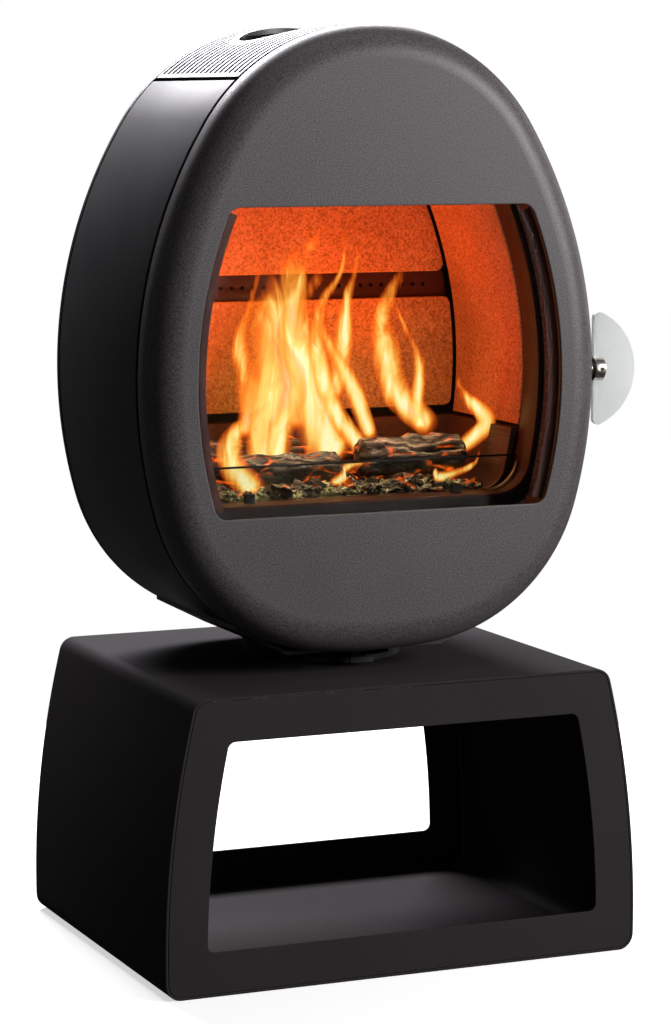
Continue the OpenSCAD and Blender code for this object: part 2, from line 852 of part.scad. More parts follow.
// Lugs above and below each hinge arm, welded to the back of the door's inner frame
module door_lugs() {
    foot_y = retainer_y + retainer_t;
    foot_x = hinge_x + 23;
    lug = [
        [foot_x, foot_y], [foot_x, foot_y + 8], [hinge_x + 5, hinge_y + 4], [hinge_x - 2, hinge_y - 4],
        [hinge_x + 7, hinge_y - 17], [hinge_x + 14, foot_y]
    ];
    color(steel) for (z = hinge_z)
        for (side = [-1, 1])
            translate([0, 0, z + side * (arm_h / 2 + lug_h / 2 + 0.4) - lug_h / 2]) difference() {
                union() {
                    translate([hinge_x, hinge_y, 0]) cylinder(r = barrel_r, h = lug_h);
                    linear_extrude(lug_h) polygon(lug);
                }
                translate([hinge_x, hinge_y, -1]) cylinder(r = hinge_pin_r, h = lug_h + 2);
            }
}

module hinge_pins() {
    length = arm_h + 2 * lug_h + 0.8;
    color(steel) for (z = hinge_z)
        translate([hinge_x, hinge_y, z - length / 2]) {
            cylinder(r = hinge_pin_r, h = length);
            translate([0, 0, length]) cylinder(r = 4.6, h = 2);
        }
}

module handle_bush() {
    color(steel) translate([254, handle_y, handle_z]) rotate([0, 90, 0]) difference() {
        union() {
            cylinder(r = 9, h = 12.8);
            cylinder(r = 12, h = 3);
        }
        translate([0, 0, -1]) cylinder(r = shaft_r + running, h = 20);
    }
}

// ---- Handle ----

// Half-moon outline with rounded ends, straight side on x = 0
function grip_outline() =
    let (
        c = [grip_w - grip_r, 0],
        rc = 7,
        dz = sqrt(pow(grip_r - rc, 2) - pow(rc - c.x, 2)),
        low = [rc, -dz],
        high = [rc, dz],
        a = atan2(dz, rc - c.x)
    )
    concat(arc(low, rc, -180, -a, 8), arc(c, grip_r, -a, a, 36), arc(high, rc, a, 180, 8));

module handle_grip() {
    color([0.85, 0.92, 0.88, 0.8]) difference() {
        translate([grip_x, 0, handle_z]) slab(handle_y - grip_t / 2, handle_y + grip_t / 2)
            polygon(grip_outline());
        rod_y(grip_x + 5, handle_z, 2.2, handle_y - grip_t, handle_y + grip_t);
    }
}

module handle_shaft() {
    color(steel) difference() {
        translate([238, handle_y, handle_z]) rotate([0, 90, 0]) {
            cylinder(r = shaft_r, h = 30.2);
            translate([0, 0, 30]) cylinder(r = stub_r, h = 12);
        }
        translate([grip_x - 0.2, handle_y - grip_t / 2 - 0.1, handle_z - 20]) cube([20, grip_t + 0.2, 40]);
        rod_y(grip_x + 5, handle_z, 2.2, handle_y - 20, handle_y + 20);
    }
}

// Countersunk clamp screw through the stub and the grip plate
module grip_screw() {
    y1 = handle_y + 11;
    color(steel) rod_y(grip_x + 5, handle_z, 2.1, y1 - 18, y1);
}

// Claw on the shaft; its tooth comes down behind the catch pin
module latch_hook() {
    claw = [[-9, -9], [6, -9], [8, -1], [21, -1], [21, -2.2], [26, -2.2], [26, 9], [-9, 9]];
    color(steel) translate([241, handle_y, handle_z]) rotate([90, 0, 90]) difference() {
        linear_extrude(6) polygon(claw);
        translate([0, 0, -1]) cylinder(r = shaft_r, h = 8);
    }
}

module shaft_nut() {
    color(steel) translate([233, handle_y, handle_z]) rotate([0, 90, 0]) difference() {
        cylinder(r = 9, h = 7.8, $fn = 6);
        translate([0, 0, 5]) cylinder(r = shaft_r, h = 4);
    }
}

pedestal_wrap();
pedestal_front_panel();
pedestal_rear_panel();
panel_tabs();
neck_flange();
neck_tube();
neck_bolts();
valve_seat();
valve_pin();
air_damper();
air_knob();
side_wrap_left();
side_wrap_right();
top_grille();
bottom_grille();
rear_cover();
rear_cover_screws();
cover_posts();
heat_shield();
shield_spacers();
firebox_shell();
firebox_back();
front_frame();
throat_liner();
hearth_tray();
grate();
ash_pan();
side_brick_left();
side_brick_right();
back_brick_lower();
back_brick_upper();
air_bar();
brick_clips();
baffle_brick();
smoke_deflector();
deflector_rails();
flue_socket();
flue_bolts();
ember_guard();
guard_feet();
ash_bed();
logs();
hinge_arms();
catch_bracket();
catch_pin();
door_shell();
door_glass();
glass_seal();
door_frame();
frame_bosses();
frame_screws();
door_seal();
door_lugs();
hinge_pins();
handle_bush();
handle_shaft();
handle_grip();
grip_screw();
latch_hook();
shaft_nut();
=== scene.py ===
"""Oval wood burning stove: the looks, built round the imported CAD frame. Metres, +Z up, -Y front."""
import math
import random

import bmesh
import bpy
from mathutils import Matrix, Vector, noise


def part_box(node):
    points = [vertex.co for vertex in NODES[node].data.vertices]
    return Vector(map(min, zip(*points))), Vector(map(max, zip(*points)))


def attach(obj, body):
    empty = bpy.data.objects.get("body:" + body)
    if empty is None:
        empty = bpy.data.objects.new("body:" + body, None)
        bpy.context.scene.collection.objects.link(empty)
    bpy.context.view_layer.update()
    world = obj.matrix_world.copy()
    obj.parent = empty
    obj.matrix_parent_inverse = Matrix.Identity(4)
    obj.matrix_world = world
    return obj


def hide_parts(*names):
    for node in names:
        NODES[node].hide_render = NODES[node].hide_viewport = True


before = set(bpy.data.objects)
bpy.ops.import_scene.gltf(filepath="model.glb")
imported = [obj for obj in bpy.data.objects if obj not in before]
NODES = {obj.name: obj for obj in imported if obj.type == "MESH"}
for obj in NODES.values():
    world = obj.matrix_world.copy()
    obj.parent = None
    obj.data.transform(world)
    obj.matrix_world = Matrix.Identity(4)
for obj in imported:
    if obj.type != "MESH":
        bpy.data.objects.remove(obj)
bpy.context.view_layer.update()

# ---------------------------------------------------------------- outlines

MM = 0.001
SAME = 1e-6  # points closer than this are one point
SIDES = ((1, "right"), (-1, "left"))
CROWN_R, SIDE_R, SHOULDER_R = 0.221, 0.533, 0.208
CROWN_LOW, SIDE_LOW, SHOULDER_LOW = 31.7, -15.8, -82.5
GRILLE_A, WRAP_LOW_A = 46.4, -58.5


def turn(a):
    return Vector((math.cos(math.radians(a)), math.sin(math.radians(a))))


def centre_of(node):
    low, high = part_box(node)
    return (low + high) / 2


def depths(node):
    """The node's front and back, as two Y values."""
    return [corner.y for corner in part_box(node)]


CROWN_C = Vector((0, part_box("door_shell")[1].z - CROWN_R))
SIDE_C = CROWN_C + (CROWN_R - SIDE_R) * turn(CROWN_LOW)
SHOULDER_C = SIDE_C + (SIDE_R - SHOULDER_R) * turn(SIDE_LOW)
BASE_R = SHOULDER_R + SHOULDER_C.x / math.cos(math.radians(SHOULDER_LOW))
BASE_C = SHOULDER_C + (SHOULDER_R - BASE_R) * turn(SHOULDER_LOW)


def arc(c, r, a0, a1, n):
    """Points of an arc in the XZ plane, each with its outward normal."""
    angles = [a0 + (a1 - a0) * i / n for i in range(n + 1)]
    return [(Vector(c) + r * turn(a), turn(a)) for a in angles]


def joined(*runs):
    """Runs of points end to end, without the points that two runs share."""
    line = list(runs[0])
    for run in runs[1:]:
        line += [q for q in run if (q[0] - line[-1][0]).length > SAME]
    return line


def mirrored(line, side=-1):
    """The same points and normals, mirrored left to right when side is -1."""
    return [(Vector((side * p.x, p.y)), Vector((side * n.x, n.y))) for p, n in line]


def closed(half):
    """A half outline from bottom to top, and its mirror image back down."""
    line = joined(half, mirrored(reversed(half)))
    return line[:-1] if (line[0][0] - line[-1][0]).length < SAME else line


def oval():
    return closed(joined(
        arc(BASE_C, BASE_R, -90, SHOULDER_LOW, 10),
        arc(SHOULDER_C, SHOULDER_R, SHOULDER_LOW, SIDE_LOW, 40),
        arc(SIDE_C, SIDE_R, SIDE_LOW, CROWN_LOW, 60),
        arc(CROWN_C, CROWN_R, CROWN_LOW, 90, 40),
    ))


def barrel_half(c, r, z0, z1, r0, r1, sides=48, corner=10):
    """Flat bottom and top, a side on an arc of radius r about c, rounded corners."""
    def corner_at(z, rc):
        return Vector((c.x + math.sqrt((r - rc) ** 2 - (z - c.y) ** 2), z))

    low, high = corner_at(z0 + r0, r0), corner_at(z1 - r1, r1)
    a0 = math.degrees(math.atan2(low.y - c.y, low.x - c.x))
    a1 = math.degrees(math.atan2(high.y - c.y, high.x - c.x))
    return joined(
        arc(low, r0, -90, a0, corner), arc(c, r, a0, a1, sides), arc(high, r1, a1, 90, corner)
    )


# ---------------------------------------------------------------- mesh helpers

def linked(name, data):
    """A new object in the scene, with the given data."""
    thing = bpy.data.objects.new(name, data)
    bpy.context.scene.collection.objects.link(thing)
    return thing


def mesh_object(name, verts, faces, smooth=True):
    data = bpy.data.meshes.new(name)
    data.from_pydata([tuple(v) for v in verts], [], faces)
    data.validate()
    bm = bmesh.new()
    bm.from_mesh(data)
    bmesh.ops.remove_doubles(bm, verts=bm.verts, dist=SAME)
    bmesh.ops.recalc_face_normals(bm, faces=bm.faces)
    bm.to_mesh(data)
    bm.free()
    piece = linked(name, data)
    if smooth:
        smooth_by_angle(piece)
    return piece


def smooth_by_angle(piece, angle=35):
    piece.data.polygons.foreach_set("use_smooth", [True] * len(piece.data.polygons))
    piece.data.set_sharp_from_angle(angle=math.radians(angle))


def evened(piece):
    """Smooth shading that keeps wide flat faces flat beside their rounded edges."""
    smooth_by_angle(piece)
    piece.modifiers.new("normals", "WEIGHTED_NORMAL").keep_sharp = True
    return piece


def loft(name, rings, loop=True, caps=False):
    """Closed rings with equal counts, joined one to the next; loop joins the last to the first."""
    n, m = len(rings[0]), len(rings)
    verts = [v for ring in rings for v in ring]
    faces = []
    for i in range(m if loop else m - 1):
        a, b = i * n, ((i + 1) % m) * n
        faces += [(a + j, b + j, b + (j + 1) % n, a + (j + 1) % n) for j in range(n)]
    if caps:
        faces += [tuple(range(n)), tuple(range((m - 1) * n, m * n))]
    return mesh_object(name, verts, faces)


def at(point, t, y):
    """The place at offset t inside an outline's point and depth y."""
    p, n = point
    q = p - n * t
    return Vector((q.x, y, q.y))


def rounded(t0, t1, y0, y1, r, n=3):
    """Section of a bar from offset t0 to t1 and depth y0 to y1, its corners rounded."""
    corners = [(t0 + r, y0 + r, 180), (t1 - r, y0 + r, 270), (t1 - r, y1 - r, 0), (t0 + r, y1 - r, 90)]
    section = []
    for t, y, a in corners:
        for i in range(n + 1):
            d = turn(a + 90 * i / n)
            section.append((t + r * d.x, y + r * d.y))
    return section


def sweep(name, line, section, loop):
    """A section of (offset, depth) points carried along an outline."""
    if loop:
        return loft(name, [[at(p, t, y) for p in line] for t, y in section])
    return loft(name, [[at(p, t, y) for t, y in section] for p in line], loop=False, caps=True)


def box_mesh(name, low, high):
    x, y, z = zip(low, high)
    verts = [(a, b, c) for a in x for b in y for c in z]
    faces = [(0, 1, 3, 2), (4, 6, 7, 5), (0, 4, 5, 1), (2, 3, 7, 6), (0, 2, 6, 4), (1, 5, 7, 3)]
    return mesh_object(name, verts, faces, smooth=False)


def cylinder_mesh(name, centre, r, z0, z1, n=128):
    ring = [(centre[0] + r * turn(360 * i / n).x, centre[1] + r * turn(360 * i / n).y) for i in range(n)]
    return loft(name, [[Vector((*p, z)) for p in ring] for z in (z0, z1)], loop=False, caps=True)


def join(name, pieces):
    """Several pieces' meshes in one object."""
    bm = bmesh.new()
    for piece in pieces:
        piece.data.transform(piece.matrix_world)
        bm.from_mesh(piece.data)
        bpy.data.objects.remove(piece)
    data = bpy.data.meshes.new(name)
    bm.to_mesh(data)
    bm.free()
    return linked(name, data)


def applied(piece):
    """Applies the piece's modifiers to its mesh."""
    bpy.context.view_layer.update()
    shape = piece.evaluated_get(bpy.context.evaluated_depsgraph_get())
    data = bpy.data.meshes.new_from_object(shape)
    piece.modifiers.clear()
    piece.data = data
    return piece


def cut(piece, cutter):
    """Takes the cutter's shape out of the piece, and removes the cutter."""
    tool = piece.modifiers.new("cut", "BOOLEAN")
    tool.object, tool.operation, tool.solver = cutter, "DIFFERENCE", "EXACT"
    applied(piece)
    bpy.data.objects.remove(cutter)
    return piece


def bevelled(piece, width, segments, angle=35):
    edge = piece.modifiers.new("edge", "BEVEL")
    edge.width, edge.segments, edge.limit_method = width, segments, "ANGLE"
    edge.angle_limit, edge.harden_normals = math.radians(angle), True
    return piece


def polished(node, width, segments=2):
    """Softens a CAD node's edges with modifiers; its own mesh stays as it is."""
    piece = NODES[node]
    piece.modifiers.new("weld", "WELD").merge_threshold = SAME
    flat = piece.modifiers.new("flat", "DECIMATE")
    flat.decimate_type, flat.angle_limit = "DISSOLVE", math.radians(0.4)
    bevelled(piece, width, segments)
    piece.data.polygons.foreach_set("use_smooth", [True] * len(piece.data.polygons))


def done(piece, body, slot, *nodes, look=None):
    """Gives a piece its material (the slot's look, or the look given), puts it in its body, and hides the CAD
    nodes that it stands for.
    """
    piece.data.materials.clear()
    piece.data.materials.append(look or LOOKS[slot])
    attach(piece, body)
    if nodes:
        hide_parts(*nodes)


# ---------------------------------------------------------------- materials

class Shader:
    """A Principled material with short calls for the nodes that feed it."""

    def __init__(self, name, colour, rough, metal=0.0, **inputs):
        self.m = bpy.data.materials.new(name)
        self.m.use_nodes = True
        self.nodes, self.links = self.m.node_tree.nodes, self.m.node_tree.links
        self.main = self.nodes["Principled BSDF"]
        self.main.inputs["Base Color"].default_value = (*colour, 1)
        self.main.inputs["Roughness"].default_value = rough
        self.main.inputs["Metallic"].default_value = metal
        for key, value in inputs.items():
            self.main.inputs[key.replace("_", " ")].default_value = value

    def link(self, source, target):
        self.links.new(source, target)

    def place(self, stretch=(1, 1, 1)):
        where = self.nodes.new("ShaderNodeTexCoord").outputs["Object"]
        if stretch == (1, 1, 1):
            return where
        mapping = self.nodes.new("ShaderNodeMapping")
        mapping.inputs["Scale"].default_value = stretch
        self.link(where, mapping.inputs["Vector"])
        return mapping.outputs["Vector"]

    def noise(self, scale, detail=3.0, rough=0.5, stretch=(1, 1, 1), twist=0.0):
        n = self.nodes.new("ShaderNodeTexNoise")
        n.inputs["Scale"].default_value = scale
        n.inputs["Detail"].default_value = detail
        n.inputs["Roughness"].default_value = rough
        n.inputs["Distortion"].default_value = twist
        self.link(self.place(stretch), n.inputs["Vector"])
        return n.outputs["Fac"]

    def cells(self, scale, feature="F1", stretch=(1, 1, 1)):
        v = self.nodes.new("ShaderNodeTexVoronoi")
        v.feature = feature
        v.inputs["Scale"].default_value = scale
        self.link(self.place(stretch), v.inputs["Vector"])
        return v.outputs["Distance"]

    def ramp(self, fac, *stops):
        r = self.nodes.new("ShaderNodeValToRGB")
        elements = r.color_ramp.elements
        while len(elements) < len(stops):
            elements.new(0.5)
        for element, (position, value) in zip(elements, stops):
            element.position = position
            element.color = (*value, 1) if isinstance(value, tuple) else (value, value, value, 1)
        self.link(fac, r.inputs["Fac"])
        return r.outputs["Color"]

    def mix(self, fac, a, b, how="MIX"):
        m = self.nodes.new("ShaderNodeMix")
        m.data_type, m.blend_type = "RGBA", how
        for key, value in (("Factor", fac), ("A", a), ("B", b)):
            kind = "VALUE" if key == "Factor" else "RGBA"
            socket = [s for s in m.inputs if s.name == key and s.type == kind][0]
            if isinstance(value, (int, float)):
                socket.default_value = value
            elif isinstance(value, tuple):
                socket.default_value = (*value, 1)
            else:
                self.link(value, socket)
        return [s for s in m.outputs if s.type == "RGBA"][0]

    def math(self, how, a, b=None, clamp=False):
        m = self.nodes.new("ShaderNodeMath")
        m.operation, m.use_clamp = how, clamp
        for socket, value in zip(m.inputs, (a, b)):
            if isinstance(value, (int, float)):
                socket.default_value = value
            elif value is not None:
                self.link(value, socket)
        return m.outputs[0]

    def normal(self, part):
        """Part "X", "Y" or "Z" of the surface's own direction."""
        split = self.nodes.new("ShaderNodeSeparateXYZ")
        self.link(self.nodes.new("ShaderNodeNewGeometry").outputs["Normal"], split.inputs[0])
        return split.outputs[part]

    def bump(self, height, strength, distance=MM, under=None):
        b = self.nodes.new("ShaderNodeBump")
        b.inputs["Strength"].default_value = strength
        b.inputs["Distance"].default_value = distance
        self.link(height, b.inputs["Height"])
        if under is not None:
            self.link(under, b.inputs["Normal"])
        self.link(b.outputs["Normal"], self.main.inputs["Normal"])
        return b.outputs["Normal"]

    def set(self, key, source):
        self.link(source, self.main.inputs[key])


def paint(name, colour, rough, grain, speckle, patina=0.12, shine=0.5):
    """Stove paint: fine sandy grain, faint cloudy tone, rougher and smoother patches."""
    s = Shader(name, colour, rough, Specular_IOR_Level=shine)
    fine = s.noise(grain, 2.0, 0.6)
    cloud = s.noise(7.0, 4.0, 0.55)
    dark = tuple(c * (1 - speckle) for c in colour)
    light = tuple(min(1.0, c * (1 + speckle * 1.6)) for c in colour)
    tone = s.ramp(fine, (0.36, dark), (0.64, light))
    shade = s.ramp(cloud, (0.3, 1 - patina), (0.7, 1.0))
    s.set("Base Color", s.mix(1.0, tone, shade, "MULTIPLY"))
    s.set("Roughness", s.math("ADD", s.math("MULTIPLY", cloud, 0.14), rough - 0.07))
    wave = s.bump(cloud, 0.04, 4 * MM)
    s.bump(fine, 0.22, 0.35 * MM, wave)
    return s.m


def steel(name, colour, rough):
    """Bare steel with brushed lines and faint wear."""
    s = Shader(name, colour, rough, 1.0)
    lines = s.noise(60.0, 3.0, 0.6, (1, 1, 60))
    wear = s.noise(25.0, 4.0)
    s.set("Base Color", s.mix(s.math("MULTIPLY", wear, 0.5), colour, tuple(c * 0.7 for c in colour)))
    s.set("Roughness", s.math("ADD", s.math("MULTIPLY", lines, 0.2), rough - 0.1))
    s.bump(lines, 0.08, 0.2 * MM)
    return s.m


def sooty(name, colour, rough, tint):
    """Steel that has been hot: soot clouds, brown bloom, dull patches."""
    s = Shader(name, colour, rough, 0.3)
    cloud = s.noise(18.0, 5.0, 0.6)
    speck = s.noise(420.0, 2.0)
    tone = s.mix(s.ramp(cloud, (0.35, 0.0), (0.7, 1.0)), colour, tint)
    s.set("Base Color", s.mix(s.ramp(speck, (0.62, 0.0), (0.75, 0.5)), tone, tuple(c * 1.8 for c in tint)))
    s.set("Roughness", s.math("ADD", s.math("MULTIPLY", cloud, 0.3), rough - 0.15))
    s.bump(speck, 0.15, 0.4 * MM)
    return s.m


def refractory():
    """Pressed vermiculite: golden flakes and dark pores in a tan body, darker in cloudy patches of soot."""
    tan = (0.56, 0.29, 0.11)
    s = Shader("refractory", tan, 0.85)
    grain = s.noise(380.0, 3.0, 0.7)
    flake = s.cells(520.0)
    cloud = s.noise(9.0, 4.0, 0.6)
    tone = s.ramp(grain, (0.3, (0.20, 0.08, 0.025)), (0.5, tan), (0.7, (0.84, 0.50, 0.22)))
    bright = s.ramp(flake, (0.08, 1.0), (0.2, 0.0))
    tone = s.mix(s.math("MULTIPLY", bright, 0.6), tone, (0.95, 0.72, 0.42))
    s.set("Base Color", s.mix(1.0, tone, s.ramp(cloud, (0.3, 0.7), (0.65, 1.0)), "MULTIPLY"))
    s.bump(grain, 0.7, 0.8 * MM, s.bump(cloud, 0.2, 2 * MM))
    return s.m


def glass(name, colour, haze):
    """Clear pane with a faint smear; its low IOR keeps the solid pane from bending the view."""
    s = Shader(name, colour, 0.0, IOR=1.12)
    s.main.inputs["Transmission Weight"].default_value = 1.0
    smear = s.noise(14.0, 3.0, 0.6)
    s.set("Roughness", s.math("MULTIPLY", smear, haze))
    return s.m


def frosted():
    """Etched glass of the grip plate."""
    s = Shader("frosted_glass", (0.90, 0.93, 0.91), 0.55, IOR=1.5)
    s.main.inputs["Transmission Weight"].default_value = 0.45
    fine = s.noise(900.0, 2.0)
    s.set("Base Color", s.ramp(s.noise(30.0), (0.3, (0.88, 0.92, 0.90)), (0.7, (0.94, 0.97, 0.955))))
    s.bump(fine, 0.12, 0.2 * MM)
    return s.m


def rope(name, colour):
    """Braided seal rope, painted lighter on its strands' ridges and darker in the grooves: painted highlight
    and painted shade.
    """
    s = Shader(name, colour, 0.9)
    strands = s.cells(260.0, stretch=(1, 0.6, 1))
    # The ridge tone and the groove tone are lit and shaded copies of the rope's colour: painted highlight on
    # the ridges, painted shade in the grooves.
    lit_ridge, groove = (tuple(c * k for c in colour) for k in (1.5, 0.5))
    s.set("Base Color", s.ramp(strands, (0.1, lit_ridge), (0.6, groove)))
    s.bump(strands, 0.8, 1.2 * MM)
    return s.m


def ash():
    """Grey-green ash with pale grains, painted darker in the hollows of its bumps as painted shade."""
    s = Shader("ash", (0.3, 0.29, 0.2), 0.95)
    grain = s.noise(260.0, 4.0, 0.7)
    cloud = s.noise(34.0, 4.0, 0.6)
    tone = s.ramp(grain, (0.36, (0.05, 0.05, 0.03)), (0.5, (0.30, 0.31, 0.18)), (0.66, (0.80, 0.78, 0.55)))
    # Darker brown where the cloud bump dips: painted shade in the hollows.
    s.set("Base Color", s.mix(s.ramp(cloud, (0.36, 0.9), (0.5, 0.0)), tone, (0.06, 0.045, 0.03)))
    s.bump(grain, 0.9, 2 * MM, s.bump(cloud, 0.6, 5 * MM))
    return s.m


def charred():
    """Charcoal broken into blocks, ash on what faces up, heat in some of the cracks."""
    s = Shader("charred_wood", (0.02, 0.016, 0.014), 0.8)
    crack = s.cells(46.0, "DISTANCE_TO_EDGE", (0.45, 1, 1))
    grain = s.noise(150.0, 4.0, 0.7, (0.2, 1, 1))
    cloud = s.noise(20.0, 4.0, 0.6)
    up = s.ramp(s.normal("Z"), (0.35, 0.0), (0.9, 1.0))
    dust = s.math("MULTIPLY", up, s.ramp(grain, (0.45, 0.0), (0.7, 0.9)))
    tone = s.ramp(grain, (0.3, (0.008, 0.006, 0.005)), (0.7, (0.05, 0.035, 0.028)))
    s.set("Base Color", s.mix(dust, tone, (0.34, 0.31, 0.25)))
    hot = s.math("MULTIPLY", s.ramp(crack, (0.0, 1.0), (0.09, 0.0)), s.ramp(cloud, (0.48, 0.0), (0.62, 1.0)))
    s.main.inputs["Emission Strength"].default_value = 1.6
    s.set("Emission Color", s.mix(hot, (0.0, 0.0, 0.0), (1.0, 0.13, 0.008)))
    s.bump(grain, 0.5, MM, s.bump(s.ramp(crack, (0.0, 0.0), (0.12, 1.0)), 0.8, 3 * MM))
    return s.m


def ember():
    """Glowing coal: bright orange with a dark crust."""
    s = Shader("ember", (0.05, 0.02, 0.01), 0.9)
    crust = s.noise(120.0, 4.0, 0.7)
    patch = s.noise(30.0, 3.0)
    heat = s.ramp(s.math("MULTIPLY", crust, s.math("ADD", patch, 0.5)), (0.42, (0.0, 0.0, 0.0)),
                  (0.5, (0.4, 0.03, 0.002)), (0.62, (1.0, 0.12, 0.008)), (0.75, (1.0, 0.35, 0.06)))
    s.main.inputs["Emission Strength"].default_value = 1.5
    s.set("Emission Color", heat)
    s.set("Base Color", s.ramp(crust, (0.4, (0.02, 0.015, 0.012)), (0.7, (0.2, 0.17, 0.13))))
    s.bump(crust, 0.8, 2 * MM)
    return s.m


def flame():
    """Fire on a sheet whose UVs run across (U) and up (V): white-hot root, orange edge, torn tip."""
    s = Shader("flame", (0.0, 0.0, 0.0), 1.0)
    s.main.inputs["Specular IOR Level"].default_value = 0.0
    split = s.nodes.new("ShaderNodeSeparateXYZ")
    s.link(s.nodes.new("ShaderNodeTexCoord").outputs["UV"], split.inputs[0])
    across, up = split.outputs["X"], split.outputs["Y"]
    streak = s.noise(44.0, 3.0, 0.6, (1.0, 1.0, 0.2), 0.8)
    side = s.math("MULTIPLY", s.math("ABSOLUTE", s.math("SUBTRACT", across, 0.5)), 2.0)
    body = s.math("SUBTRACT", 1.0, s.math("POWER", side, 1.7))
    fade_up = s.ramp(up, (0.0, 0.15), (0.07, 1.0), (0.55, 0.8), (1.0, 0.0))
    wild = s.math("ADD", s.math("MULTIPLY", up, 1.5), 0.9)
    torn = s.math("MULTIPLY", s.math("SUBTRACT", streak, 0.5), wild)
    heat = s.math("ADD", s.math("MULTIPLY", body, fade_up), torn, clamp=True)
    heat = s.math("MULTIPLY", heat, s.ramp(side, (0.8, 1.0), (1.0, 0.0)))
    heat = s.math("MULTIPLY", heat, s.ramp(up, (0.0, 0.0), (0.05, 1.0), (0.85, 1.0), (1.0, 0.0)))
    s.main.inputs["Emission Strength"].default_value = 1.3
    s.set("Emission Color", s.ramp(
        heat, (0.0, (0.75, 0.05, 0.0)), (0.35, (1.0, 0.16, 0.01)), (0.62, (1.0, 0.36, 0.04)),
        (0.85, (1.0, 0.66, 0.17)), (1.0, (1.0, 0.88, 0.46))))
    s.set("Alpha", s.ramp(heat, (0.06, 0.0), (0.35, 0.30), (0.8, 0.85)))
    return s.m


LOOKS = {
    "pedestal_paint": paint("pedestal_paint", (0.0380, 0.0335, 0.0355), 0.62, 1100.0, 0.3, shine=0.04),
    "casing_paint": paint("casing_paint", (0.022, 0.018, 0.023), 0.45, 900.0, 0.15, shine=0.85),
    "cast_paint": paint("cast_paint", (0.045, 0.043, 0.045), 0.42, 500.0, 0.2),
    "dark_steel": sooty("dark_steel", (0.008, 0.007, 0.007), 0.6, (0.014, 0.011, 0.010)),
    "hot_steel": sooty("hot_steel", (0.045, 0.014, 0.010), 0.45, (0.07, 0.022, 0.014)),
    "tray_iron": sooty("tray_iron", (0.06, 0.032, 0.024), 0.7, (0.12, 0.05, 0.03)),
    "bare_steel": steel("bare_steel", (0.62, 0.58, 0.53), 0.3),
    "refractory": refractory(),
    "clear_glass": glass("clear_glass", (0.97, 0.96, 0.94), 0.03),
    "guard_glass": glass("guard_glass", (0.80, 0.84, 0.82), 0.05),
    "frosted_glass": frosted(),
    "rope": rope("rope", (0.10, 0.095, 0.09)),
    "ash": ash(),
    "charred_wood": charred(),
}
# The door's paint is the stove's black paint made lighter: painted light, standing in for the front lamp on
# the door's face.
LIT_DOOR_PAINT = paint("door_paint_lit", (0.086, 0.077, 0.081), 0.46, 620.0, 0.4)
EMBER, FLAME = ember(), flame()

# ---------------------------------------------------------------- CAD nodes that keep their own mesh

for name, node in NODES.items():
    for place in node.material_slots:
        place.material = LOOKS[place.material.name.split(".")[0]]
    if name not in ("door_glass", "ember_guard"):  # smooth shading would turn a pane into a lens
        smooth_by_angle(node)
for name in ("side_brick_left", "side_brick_right", "back_brick_lower", "back_brick_upper", "baffle_brick"):
    polished(name, 1.5 * MM, 3)
for name in ("hearth_tray", "throat_liner", "air_bar"):
    polished(name, 0.5 * MM)
for name in ("bottom_grille", "neck_flange", "air_knob", "air_damper", "heat_shield"):
    polished(name, 0.6 * MM)
polished("handle_grip", 0.9 * MM, 3)
polished("handle_shaft", 0.7 * MM, 3)

# ---------------------------------------------------------------- door shell

FRONT, RIM = depths("door_shell")
DOOR_EDGE_R, DOOR_WALL = 36 * MM, 4 * MM
WINDOW_R = SIDE_R - 52 * MM
WINDOW_LOW, WINDOW_HIGH, WINDOW_CORNER = 0.502, 0.834, 15 * MM
RAY_C = Vector((0, (WINDOW_LOW + WINDOW_HIGH) / 2))


def between(a, b, n):
    """n points set evenly between a and b, with both ends."""
    return [(a[0] + (b[0] - a[0]) * i / (n + 1), a[1]) for i in range(n + 2)]


def window(t):
    """The window's outline, t larger all round, from its bottom middle round and back."""
    corner = WINDOW_CORNER + t
    half = barrel_half(SIDE_C, WINDOW_R + t, WINDOW_LOW - t, WINDOW_HIGH + t, corner, corner)
    low = (Vector((0, WINDOW_LOW - t)), half[0][1])
    high = (Vector((0, WINDOW_HIGH + t)), half[-1][1])
    return closed(joined(between(low, half[0], 40), half, between(half[-1], high, 40)))


def on_oval(p, t):
    """Where the ray from the window's middle through p meets the oval set in by t."""
    u = (p - RAY_C).normalized()
    side = 1 if u.x >= 0 else -1
    u = Vector((abs(u.x), u.y))
    runs = ((BASE_C, BASE_R, -90, SHOULDER_LOW), (SHOULDER_C, SHOULDER_R, SHOULDER_LOW, SIDE_LOW),
            (SIDE_C, SIDE_R, SIDE_LOW, CROWN_LOW), (CROWN_C, CROWN_R, CROWN_LOW, 90))
    for c, r, a0, a1 in runs:
        d = RAY_C - c
        b = d.dot(u)
        q = RAY_C + u * (math.sqrt(b * b - d.dot(d) + (r - t) ** 2) - b)
        a = math.degrees(math.atan2(q.y - c.y, q.x - c.x))
        if a0 - 1e-3 <= a <= a1 + 1e-3:
            return Vector((side * q.x, q.y))
    raise ValueError(f"no point on the oval past {p}")


